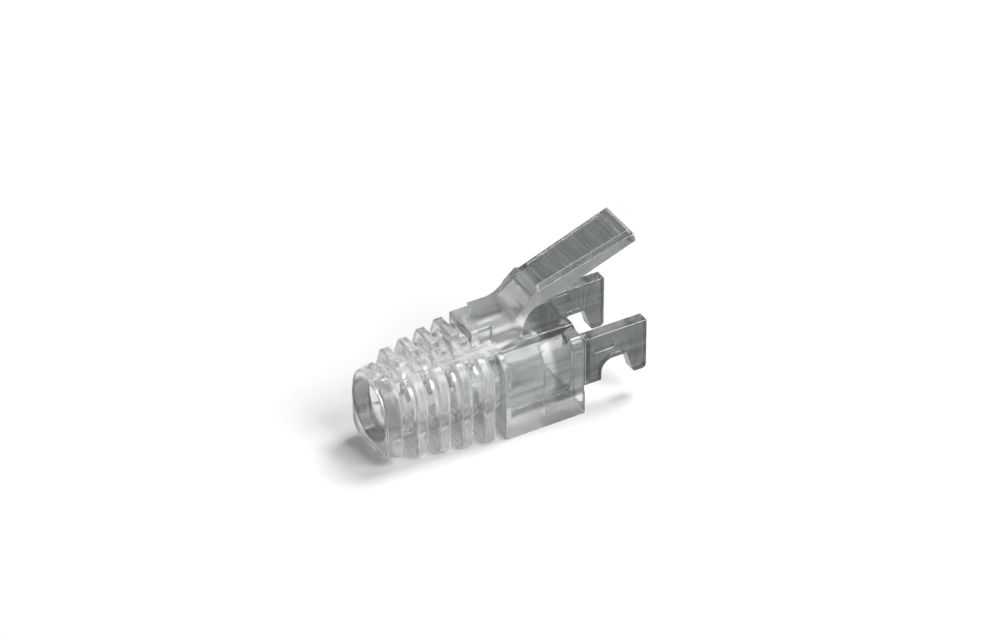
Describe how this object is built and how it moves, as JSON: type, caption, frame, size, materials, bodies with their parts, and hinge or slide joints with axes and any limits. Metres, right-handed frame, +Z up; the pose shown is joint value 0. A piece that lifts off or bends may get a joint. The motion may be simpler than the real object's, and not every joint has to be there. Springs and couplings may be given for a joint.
{
  "type": "strain relief boot",
  "caption": "Clear moulded strain relief boot with a ribbed cable sleeve, a plug pocket, hooked latch arms and a lever that guards the plug's latch.",
  "frame": {"origin": "centre of the cable bore in the end face of the sleeve", "axes": "+X along the cable from the sleeve's end to the plug side, +Z up towards the lever, +Y across"},
  "size_m": [0.0401, 0.0132, 0.0257],
  "materials": {
    "clear_plastic": "clear, slightly grey, part frosted"
  },
  "bodies": {
    "root": {"strain_relief_boot": "clear_plastic"}
  },
  "joints": []
}
